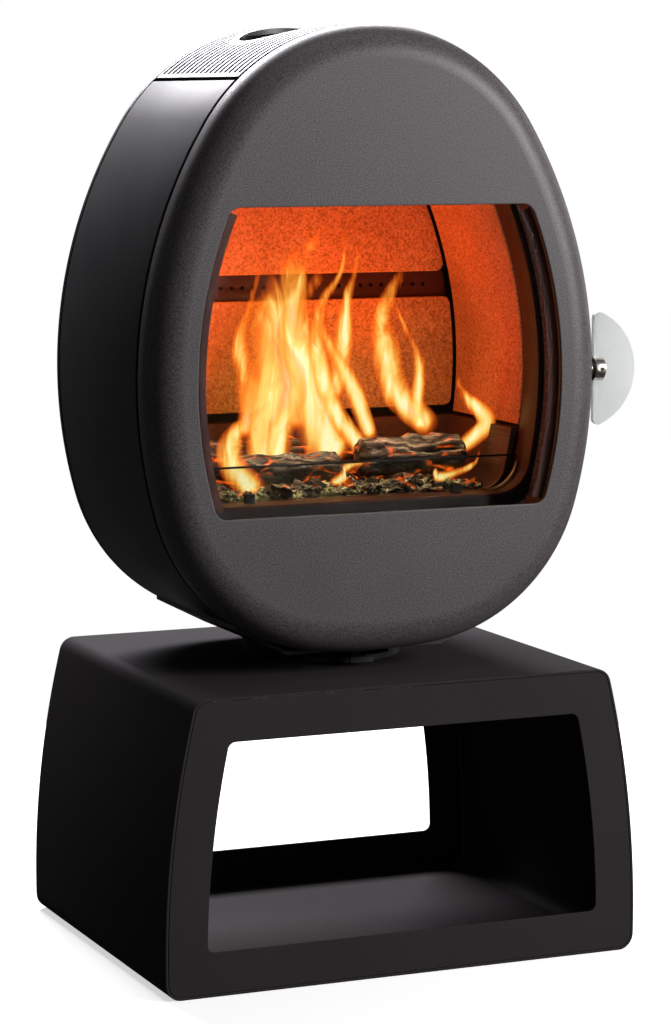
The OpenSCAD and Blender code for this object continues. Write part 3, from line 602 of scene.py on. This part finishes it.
def door_shell():
    opening = window(0)
    lip, steps = 0.7 * MM, 16

    def oval_ring(t, y):
        return [Vector((q.x, y, q.y)) for q in (on_oval(p, t) for p, _ in opening)]

    def window_ring(t, y):
        return [Vector((p.x, y, p.y)) for p, _ in window(t)]

    def edge(r, a):
        return DOOR_EDGE_R - r * turn(a).x, FRONT + DOOR_EDGE_R - r * turn(a).y

    rings = [oval_ring(lip, RIM), oval_ring(lip * 0.3, RIM - lip * 0.3), oval_ring(0, RIM - lip)]
    rings += [oval_ring(*edge(DOOR_EDGE_R, 90 * i / steps)) for i in range(steps + 1)]
    rings += [oval_ring(DOOR_EDGE_R + MM, FRONT), window_ring(lip + MM, FRONT)]
    rings += [window_ring(lip, FRONT), window_ring(lip * 0.3, FRONT + lip * 0.3), window_ring(0, FRONT + lip)]
    rings += [window_ring(0, FRONT + DOOR_WALL - lip), window_ring(lip, FRONT + DOOR_WALL)]
    rings += [oval_ring(DOOR_EDGE_R + MM, FRONT + DOOR_WALL)]
    rings += [oval_ring(*edge(DOOR_EDGE_R - DOOR_WALL, 90 - 90 * i / 8)) for i in range(9)]
    rings += [oval_ring(DOOR_WALL, RIM)]
    shell = loft("door_skin", rings)
    bush_low, bush_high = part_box("handle_bush")
    bore = cylinder_mesh("bore", (0, 0), 9 * MM, 0.24, 0.28, 64)
    axle = Matrix.Translation((0, centre_of("handle_shaft").y, bush_low.z / 2 + bush_high.z / 2))
    bore.data.transform(axle @ Matrix.Rotation(math.radians(90), 4, "Y"))
    cut(shell, bore)
    done(evened(shell), "door", "casing_paint", "door_shell", look=LIT_DOOR_PAINT)


door_shell()

# ---------------------------------------------------------------- casing

def side_wraps():
    line = joined(
        arc(SHOULDER_C, SHOULDER_R, WRAP_LOW_A, SIDE_LOW, 40),
        arc(SIDE_C, SIDE_R, SIDE_LOW, CROWN_LOW, 70),
        arc(CROWN_C, CROWN_R, CROWN_LOW, GRILLE_A, 14),
    )
    section = rounded(0, 2 * MM, *depths("side_wrap_right"), 0.7 * MM)
    for side, name in SIDES:
        sheet = sweep(f"casing_{name}", mirrored(line, side), section, False)
        done(sheet, "stove", "casing_paint", f"side_wrap_{name}")


def top_grille():
    """Made flat with its slots and its hole, then bent round the crown."""
    low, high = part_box("top_grille")
    half_x, thick, slots, pitch, slot_w, solid_end = high.x, 6 * MM, 17, 14.5 * MM, 7 * MM, 9 * MM
    strips = 72  # cuts across the plate, so that it can bend
    flue = centre_of("flue_socket")
    hole_r, rim_w = 84 * MM, 10.7 * MM
    middle = (low.y + high.y) / 2
    slot_x = CROWN_R * turn(GRILLE_A).x - solid_end
    plate = box_mesh("grille", (-half_x, low.y, -thick), (half_x, high.y, 0))
    gaps = [
        box_mesh("gap", (-slot_x, y - slot_w / 2, -0.05), (slot_x, y + slot_w / 2, 0.05))
        for y in (middle + (i - (slots - 1) / 2) * pitch for i in range(slots))
    ]
    gaps = cut(join("gaps", gaps), cylinder_mesh("rim", (flue.x, flue.y), hole_r + rim_w, -0.06, 0.06))
    cut(plate, gaps)
    cut(plate, cylinder_mesh("hole", (flue.x, flue.y), hole_r, -0.06, 0.06))
    bm = bmesh.new()
    bm.from_mesh(plate.data)
    for i in range(1, strips):
        x = -half_x + 2 * half_x * i / strips
        whole = bm.verts[:] + bm.edges[:] + bm.faces[:]
        bmesh.ops.bisect_plane(bm, geom=whole, plane_co=(x, 0, 0), plane_no=(1, 0, 0))
    for v in bm.verts:
        drop = v.co.z
        a = math.asin(v.co.x / CROWN_R)
        v.co = Vector((v.co.x + drop * math.sin(a), v.co.y, CROWN_C.y + (CROWN_R + drop) * math.cos(a)))
    bm.to_mesh(plate.data)
    bm.free()
    smooth_by_angle(plate)
    bevelled(plate, 0.9 * MM, 3, 50)
    done(plate, "stove", "cast_paint", "top_grille")


def rear_cover():
    rim, back = depths("rear_cover")
    edge_r, wall, steps, lip = 12 * MM, 2 * MM, 10, 0.5 * MM
    line = oval()

    def edge(r, a):
        return edge_r - r * turn(a).x, back - edge_r + r * turn(a).y

    section = [(lip, rim), (0, rim + lip)] + [edge(edge_r, 90 * i / steps) for i in range(steps + 1)]
    section += [(edge_r + MM, back)]
    flat = len(section) - 1  # after this ring, the flat back closes the shell outside and inside
    section += [(edge_r + MM, back - wall)]
    section += [edge(edge_r - wall, 90 - 90 * i / steps) for i in range(steps + 1)]
    section += [(wall, rim)]
    n, m = len(line), len(section)
    verts = [at(p, t, y) for t, y in section for p in line]
    faces = []
    for i in range(m):
        if i != flat:
            a, b = i * n, ((i + 1) % m) * n
            faces += [(a + j, b + j, b + (j + 1) % n, a + (j + 1) % n) for j in range(n)]
    faces += [tuple(range(flat * n, flat * n + n)), tuple(range((flat + 1) * n, (flat + 2) * n))]
    shell = mesh_object("rear_shell", verts, faces)
    half_w, tall, through = 17, 7, 0.01
    slots = [
        box_mesh("slot", ((x - half_w) * MM, back - through, z * MM),
                 ((x + half_w) * MM, back + through, (z + tall) * MM))
        for z in (430, 446, 462, 880, 896, 912) for x in range(-110, 111, 44)
    ]
    cut(shell, join("slots", slots))
    done(evened(shell), "stove", "casing_paint", "rear_cover")


side_wraps()
top_grille()
rear_cover()

# ---------------------------------------------------------------- pedestal

PED_LOW, PED_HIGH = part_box("pedestal_wrap")
PED_H, PED_TOP_HALF, PED_WIDE_Z, SHEET, FACE_W = PED_HIGH.z, 0.244, 0.04, 3 * MM, 48 * MM
PED_RISE, PED_LEAN = PED_H - PED_WIDE_Z, PED_HIGH.x - PED_TOP_HALF
PED_R = (PED_RISE ** 2 + PED_LEAN ** 2) / (2 * PED_LEAN)
PED_C = Vector((PED_HIGH.x - PED_R, PED_WIDE_Z))
PED_CORNER, FACE_CORNER = 18 * MM, 9 * MM


def pedestal_line(t, corner):
    """The pedestal's outline, set in by t."""
    return closed(barrel_half(PED_C, PED_R - t, t, PED_H - t, corner, corner, 50, 12))


def pedestal():
    line = pedestal_line(0, PED_CORNER)
    wrap = sweep("pedestal_sheet", line, rounded(0, SHEET, PED_LOW.y, PED_HIGH.y, 0.6 * MM), True)
    done(wrap, "stove", "pedestal_paint", "pedestal_wrap")
    gap, lip = 0.4 * MM, 0.5 * MM
    outer = pedestal_line(SHEET + gap, PED_CORNER - SHEET - gap)
    inner = pedestal_line(FACE_W, FACE_CORNER)
    for name in ("front", "rear"):
        low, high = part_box(f"pedestal_{name}_panel")
        rings = []
        for line, sign in ((outer, 1), (inner, -1)):
            side = [(sign * lip, low.y), (0, low.y + lip), (0, high.y - lip), (sign * lip, high.y)]
            side = side if sign > 0 else side[::-1]
            rings += [[at(p, t, y) for p in line] for t, y in side]
        done(loft(f"pedestal_{name}_face", rings), "stove", "pedestal_paint", f"pedestal_{name}_panel")


pedestal()

# ---------------------------------------------------------------- ground edges of the ember guard

def guard_edges():
    low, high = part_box("ember_guard")
    radius, big, small, band, proud = SIDE_R - 54 * MM, 38 * MM, 6 * MM, 1.0 * MM, 0.2 * MM
    up_the_side = 12  # points of the outline that the side edges follow
    half = barrel_half(SIDE_C, radius, low.z, high.z, big, small)
    top_x = half[-1][0].x
    y0, y1 = low.y - proud, high.y + proud
    top = box_mesh("guard_top_edge", (-top_x, y0, high.z - 2.0 * band), (top_x, y1, high.z))
    done(top, "stove", "dark_steel")
    section = rounded(0, band, y0, y1, 0.2 * MM)
    for side, name in SIDES:
        edge = sweep(f"guard_{name}_edge", mirrored(half[:up_the_side], side), section, False)
        done(edge, "stove", "bare_steel")


guard_edges()

# ---------------------------------------------------------------- dark borders behind the door's glass

def glass_borders():
    back, short = depths("door_glass")[1], 4 * MM
    high = math.degrees(math.asin((WINDOW_HIGH - SIDE_C.y - short) / WINDOW_R))
    low = math.degrees(math.asin((WINDOW_LOW - SIDE_C.y + short) / WINDOW_R))
    line = arc(SIDE_C, WINDOW_R, low, high, 50)
    section = rounded(-1.5 * MM, 12 * MM, back + 0.05 * MM, back + 0.65 * MM, 0.2 * MM)
    for side, name in SIDES:
        border = sweep(f"glass_border_{name}", mirrored(line, side), section, False)
        done(border, "door", "hot_steel")


glass_borders()

# ---------------------------------------------------------------- fire: logs, ash, coals

LOG_SIZES = (
    # centre, length, radius, heading, tilt
    ((-0.065, -0.008, 0.535), 0.160, 0.021, 6, 0),
    ((-0.030, 0.058, 0.543), 0.270, 0.029, 4, 0),
    ((0.100, -0.005, 0.5435), 0.130, 0.029, -3, 0),
)


def rough(p, scale, seed):
    """Smooth noise at p, different for each seed."""
    return noise.noise(Vector(p) * scale + Vector((seed * 3.7, seed * 1.3, seed * 7.1)))


def log(seed, centre, length, radius, heading, tilt):
    """A split, charred log: wedge-shaped section, cracked skin, broken ends."""
    rng = random.Random(seed)
    rings, turns, sides = 90, 64, 5
    wedge = 360 / sides
    corners = [rng.uniform(0.78, 1.0) for _ in range(sides)]
    place = Matrix.Translation(centre) @ Matrix.Rotation(math.radians(heading), 4, "Z")
    place = place @ Matrix.Rotation(math.radians(90 + tilt), 4, "Y")
    skin = []
    for i in range(rings + 1):
        ring = []
        v = i / rings
        along = (v - 0.5) * length
        end = min(1.0, 12 * min(v, 1 - v) + 0.45)
        for j in range(turns):
            a = 360 * j / turns
            k = a / wedge
            facet = corners[int(k) % sides] * (1 - k % 1) + corners[(int(k) + 1) % sides] * (k % 1)
            flat = 0.9 + 0.1 * math.cos(math.radians((a % wedge) - wedge / 2)) ** 8
            d = turn(a)
            p = Vector((d.x * radius, d.y * radius, along))
            deep = rough(p, 55, seed) * 0.16 + rough((p.x, p.y, p.z * 0.35), 160, seed) * 0.10
            groove = max(0.0, 1 - abs(((a * 7 / 360 + rough(p, 20, seed + 5) * 0.8) % 1) - 0.5) * 9) * 0.12
            r = radius * end * (facet * flat * 0.98 + deep - groove - 0.06)
            ring.append(place @ Vector((d.x * r, d.y * r, along + rough(p, 90, seed + 2) * 0.004)))
        skin.append(ring)
    piece = loft(f"log_{seed}", skin, loop=False, caps=True)
    smooth_by_angle(piece, 60)
    return piece


def logs():
    first, *others = [log(i + 1, *size) for i, size in enumerate(LOG_SIZES)]
    for piece in others:
        done(piece, "stove", "charred_wood")
    done(first, "stove", "charred_wood", "logs")


def lump(bm, rng, centre, size, roughness, seed, squash, detail):
    """One irregular lump, as a shaken and stretched ball."""
    found = bmesh.ops.create_icosphere(bm, subdivisions=detail, radius=1.0)["verts"]
    angle = rng.uniform(0, 6.28)
    spin = Matrix.Rotation(angle, 3, Vector((rng.random(), rng.random(), rng.random() + 0.1)).normalized())
    stretch = Vector((rng.uniform(0.7, 1.3), rng.uniform(0.7, 1.3), rng.uniform(0.7, 1.1) * squash))
    for v in found:
        d = v.co.copy()
        r = 1 + roughness * rough(d, 1.7, seed) + roughness * 0.5 * rough(d, 4.1, seed + 9)
        q = spin @ Vector((d.x * stretch.x, d.y * stretch.y, d.z * stretch.z)) * r * size
        v.co = Vector(centre) + Vector((q.x, q.y, q.z * squash))


ASH_LOW, ASH_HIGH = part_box("ash_bed")


def ash_top(x, y):
    """Height of the ash bed's surface: level, falling off at both ends, with two sizes of bumps."""
    ends = min(1.0, abs(x) / ASH_HIGH.x) ** 6
    mound = ASH_HIGH.z - 0.006 - 0.006 * ends
    return mound + 0.0022 * rough((x, y, 0), 60, 3) + 0.0016 * rough((x, y, 0), 170, 4)


def ash_bed():
    nx, ny = 150, 64
    low, high = ASH_LOW, ASH_HIGH
    foot_x = high.x - 0.022
    spots = [Vector((-high.x + 2 * high.x * i / nx, low.y + (high.y - low.y) * j / ny, 0))
             for j in range(ny + 1) for i in range(nx + 1)]
    verts = [Vector((p.x, p.y, ash_top(p.x, p.y))) for p in spots]
    base = len(verts)
    verts += [Vector((p.x * foot_x / high.x, p.y, low.z)) for p in spots]
    w = nx + 1
    faces = []
    for j in range(ny):
        for i in range(nx):
            a = j * w + i
            faces += [(a, a + 1, a + w + 1, a + w), (base + a, base + a + w, base + a + w + 1, base + a + 1)]
    rim = list(range(w)) + [j * w + nx for j in range(1, ny + 1)]
    rim += [ny * w + i for i in range(nx - 1, -1, -1)] + [j * w for j in range(ny - 1, 0, -1)]
    faces += [(a, b, base + b, base + a) for a, b in zip(rim, rim[1:] + rim[:1])]
    piece = mesh_object("ash_heap", verts, faces)
    smooth_by_angle(piece, 60)
    done(piece, "stove", "ash", "ash_bed")


def clear_of_logs(x, y, gap):
    """Whether a spot is further from every log's middle line than gap times its radius."""
    for centre, length, radius, heading, _ in LOG_SIZES:
        d = turn(heading)
        along = (x - centre[0]) * d.x + (y - centre[1]) * d.y
        off = abs(-(x - centre[0]) * d.y + (y - centre[1]) * d.x)
        if abs(along) < length / 2 and off < radius * gap:
            return False
    return True


HEAP_X = 0.165


def heap(name, count, seed, size, ys, slot, roughness, squash=0.75, gap=0.6, look=None):
    """Many lumps strewn over the ash in one piece."""
    rng = random.Random(seed)
    bm = bmesh.new()
    made = 0
    while made < count:
        x, y = rng.uniform(-HEAP_X, HEAP_X), rng.uniform(*ys)
        r = rng.uniform(*size)
        if not clear_of_logs(x, y, gap):
            continue
        detail = 2 if r < 0.007 else 3
        lump(bm, rng, (x, y, ash_top(x, y) + r * 0.45), r, roughness, seed + made, squash, detail)
        made += 1
    data = bpy.data.meshes.new(name)
    bm.to_mesh(data)
    bm.free()
    piece = linked(name, data)
    smooth_by_angle(piece, 45)
    done(piece, "stove", slot, look=look)


logs()
ash_bed()
heap("ash_clumps", 300, 11, (0.004, 0.0105), (-0.046, -0.012), "ash", 0.8)
heap("ash_clumps_back", 120, 12, (0.003, 0.007), (-0.02, 0.1), "ash", 0.8)
heap("charcoal", 70, 21, (0.006, 0.012), (-0.036, 0.095), "charred_wood", 0.7, 0.8, 0.2)
heap("rubble", 60, 41, (0.006, 0.013), (-0.048, -0.030), "charred_wood", 0.9, 0.85, 0.0)
heap("embers", 90, 31, (0.004, 0.009), (-0.03, 0.09), "charred_wood", 0.6, 0.7, 0.2, EMBER)

# ---------------------------------------------------------------- flames

FLAMES = (
    # depth, width, then (x, z) up the middle line
    (0.010, 0.052, ((-0.078, 0.530), (-0.062, 0.579), (-0.068, 0.636), (-0.082, 0.692), (-0.074, 0.745))),
    (0.012, 0.034, ((-0.045, 0.535), (-0.048, 0.585), (-0.044, 0.640), (-0.056, 0.695), (-0.036, 0.768))),
    (0.025, 0.062, ((0.032, 0.530), (-0.006, 0.580), (-0.018, 0.634),
                    (-0.026, 0.691), (-0.009, 0.735), (0.016, 0.770))),
    (0.022, 0.024, ((0.050, 0.540), (0.018, 0.590), (0.004, 0.650),
                    (-0.002, 0.710), (0.028, 0.760), (0.036, 0.812))),
    (-0.036, 0.034, ((-0.095, 0.512), (-0.125, 0.546), (-0.131, 0.574), (-0.099, 0.598), (-0.073, 0.620))),
    (0.000, 0.022, ((0.062, 0.560), (0.034, 0.610), (0.010, 0.667), (-0.003, 0.713), (0.005, 0.775))),
    (0.045, 0.036, ((0.158, 0.560), (0.110, 0.608), (0.100, 0.665),
                    (0.089, 0.711), (0.108, 0.767), (0.126, 0.830))),
    (0.020, 0.020, ((0.130, 0.566), (0.123, 0.612), (0.104, 0.676), (0.096, 0.735))),
    (0.000, 0.024, ((0.174, 0.545), (0.189, 0.578), (0.174, 0.612), (0.166, 0.640))),
    (-0.040, 0.013, ((-0.020, 0.521), (0.000, 0.534), (0.022, 0.541), (0.044, 0.540))),
    (-0.045, 0.012, ((0.100, 0.532), (0.128, 0.523), (0.160, 0.534), (0.180, 0.556))),
    (0.070, 0.110, ((-0.030, 0.570), (-0.022, 0.630), (-0.032, 0.690), (-0.005, 0.760), (0.030, 0.815))),
    (0.075, 0.030, ((-0.070, 0.560), (-0.062, 0.620), (-0.072, 0.690), (-0.055, 0.790))),
    (0.080, 0.030, ((0.034, 0.600), (0.056, 0.660), (0.049, 0.720), (0.086, 0.800))),
)


def smooth_path(points, n):
    """n + 1 points on a smooth curve through the given ones."""
    ends = [points[0] * 2 - points[1], *points, points[-1] * 2 - points[-2]]
    path = []
    for i in range(n + 1):
        s = i / n * (len(points) - 1)
        k = min(int(s), len(points) - 2)
        u = s - k
        a, b, c, d = ends[k:k + 4]
        bend, swing = 2 * a - 5 * b + 4 * c - d, 3 * b - a - 3 * c + d
        path.append(0.5 * (2 * b + (c - a) * u + bend * u * u + swing * u ** 3))
    return path


def flame_sheet(i, depth, width, points):
    """One tongue: a curved, tapering sheet along its middle line."""
    rows, columns = 60, 12
    path = smooth_path([Vector(p) for p in points], rows)
    verts, uvs = [], []
    for r, p in enumerate(path):
        v = r / rows
        ahead = path[min(r + 1, rows)] - path[max(r - 1, 0)]
        across = Vector((ahead.y, -ahead.x)).normalized()
        swell = 0.55 + 0.75 * math.sin(math.pi * min(1.0, v * 1.15 + 0.12)) ** 0.8
        wide = width * swell * (1 - 0.75 * v ** 2.2)
        sway = 0.006 * math.sin(v * 9 + i * 1.9)
        for c in range(columns + 1):
            u = c / columns
            s = (u - 0.5) * wide
            curl = 0.35 * wide * (0.25 - (u - 0.5) ** 2) * (1 if i % 2 else -1)
            y = depth + curl + 0.01 * math.sin(v * 5 + i)
            verts.append((p.x + across.x * s + sway, y, p.y + across.y * s))
            uvs.append((u, v))
    w = columns + 1
    faces = [(a, a + 1, a + w + 1, a + w) for a in (r * w + c for r in range(rows) for c in range(columns))]
    data = bpy.data.meshes.new(f"flame_{i}")
    data.from_pydata(verts, [], faces)
    layer = data.uv_layers.new(name="UVMap")
    for corner in data.loops:
        layer.data[corner.index].uv = uvs[corner.vertex_index]
    piece = linked(f"flame_{i}", data)
    piece.data.polygons.foreach_set("use_smooth", [True] * len(faces))
    piece.data.materials.append(FLAME)
    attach(piece, "stove")


for number, tongue in enumerate(FLAMES):
    flame_sheet(number + 1, *tongue)

# ---------------------------------------------------------------- camera, lights, floor

camera = linked("camera", bpy.data.cameras.new("camera"))
camera.location = (-1.4269, -3.3336, 0.9453)
camera.rotation_euler = (math.radians(82.74), 0, math.radians(-23.32))
camera.data.lens, camera.data.sensor_width = 113.28, 36.0
bpy.context.scene.camera = camera


def lamp(name, place, target, watts, colour, wide, high):
    """A rectangular area light that faces its target."""
    light = linked(name, bpy.data.lights.new(name, "AREA"))
    light.location = place
    light.rotation_euler = (Vector(target) - Vector(place)).to_track_quat("-Z", "Y").to_euler()
    light.data.energy, light.data.color = watts, colour
    light.data.shape, light.data.size, light.data.size_y = "RECTANGLE", wide, high
    return light


MIDDLE = (0, 0, 0.62)
STUDIO_LIGHTS = (
    # name, place, target, watts, colour, width, height
    ("overhead", (-0.1, -0.3, 2.7), MIDDLE, 5, (1.0, 0.97, 0.98), 1.6, 1.2),
    ("behind", (0.35, 2.4, 2.6), MIDDLE, 185, (0.97, 0.95, 1.0), 2.2, 1.2),
    ("front", (2.4, -2.5, 1.6), MIDDLE, 120, (1.0, 0.98, 0.98), 1.4, 1.6),
    ("right_edge", (2.4, 0.9, 1.1), MIDDLE, 8, (1.0, 0.98, 0.98), 0.8, 1.8),
)
FIRE_LIGHTS = (
    ("glow_back", (0.04, -0.02, 0.60), (0.04, 0.13, 0.66), 0.21, (1.0, 0.48, 0.18), 0.26, 0.10),
    ("glow_top", (-0.02, 0.00, 0.68), (-0.04, 0.10, 0.83), 0.68, (1.0, 0.12, 0.004), 0.24, 0.10),
    ("glow_right", (0.02, -0.01, 0.68), (0.24, 0.02, 0.68), 0.24, (1.0, 0.05, 0.0), 0.08, 0.20),
    ("glow_left", (-0.06, 0.02, 0.66), (-0.24, 0.03, 0.70), 0.20, (1.0, 0.17, 0.02), 0.08, 0.20),
    ("glow_hearth", (0.00, -0.055, 0.66), (0.00, -0.030, 0.50), 0.30, (1.0, 0.76, 0.44), 0.30, 0.03),
)
for settings in STUDIO_LIGHTS:
    lamp(*settings)
for settings in FIRE_LIGHTS:
    glow = lamp(*settings)
    glow.data.spread = math.radians(80 if glow.name == "glow_hearth" else 160)
    glow.visible_camera = glow.visible_glossy = glow.visible_transmission = False

FLOOR_R, FLOOR_THICK = 1.3, 0.02
floor = cylinder_mesh("floor", (0, 0), FLOOR_R, -FLOOR_THICK, 0.0, 96)
pale = Shader("floor_pale", (0.9, 0.9, 0.9), 0.8)
pale.main.inputs["Specular IOR Level"].default_value = 0.1
pale.main.inputs["Emission Color"].default_value = (1, 1, 1, 1)
pale.main.inputs["Emission Strength"].default_value = 0.6
floor.data.materials.append(pale.m)
floor.visible_glossy = floor.visible_diffuse = False  # it throws no light on the object's undersides

# The world is white to the camera, and nearly dark as a light.
world = bpy.data.worlds.new("studio")
bpy.context.scene.world = world
world.use_nodes = True
wires = world.node_tree
lit = wires.nodes["Background"]
lit.inputs["Color"].default_value = (1.0, 0.98, 1.0, 1)
lit.inputs["Strength"].default_value = 0.04
seen = wires.nodes.new("ShaderNodeBackground")
seen.inputs["Color"].default_value = (1, 1, 1, 1)
either = wires.nodes.new("ShaderNodeMixShader")
wires.links.new(wires.nodes.new("ShaderNodeLightPath").outputs["Is Camera Ray"], either.inputs["Fac"])
wires.links.new(lit.outputs["Background"], either.inputs[1])
wires.links.new(seen.outputs["Background"], either.inputs[2])
wires.links.new(either.outputs["Shader"], wires.nodes["World Output"].inputs["Surface"])

bpy.context.scene.view_settings.view_transform = "Standard"
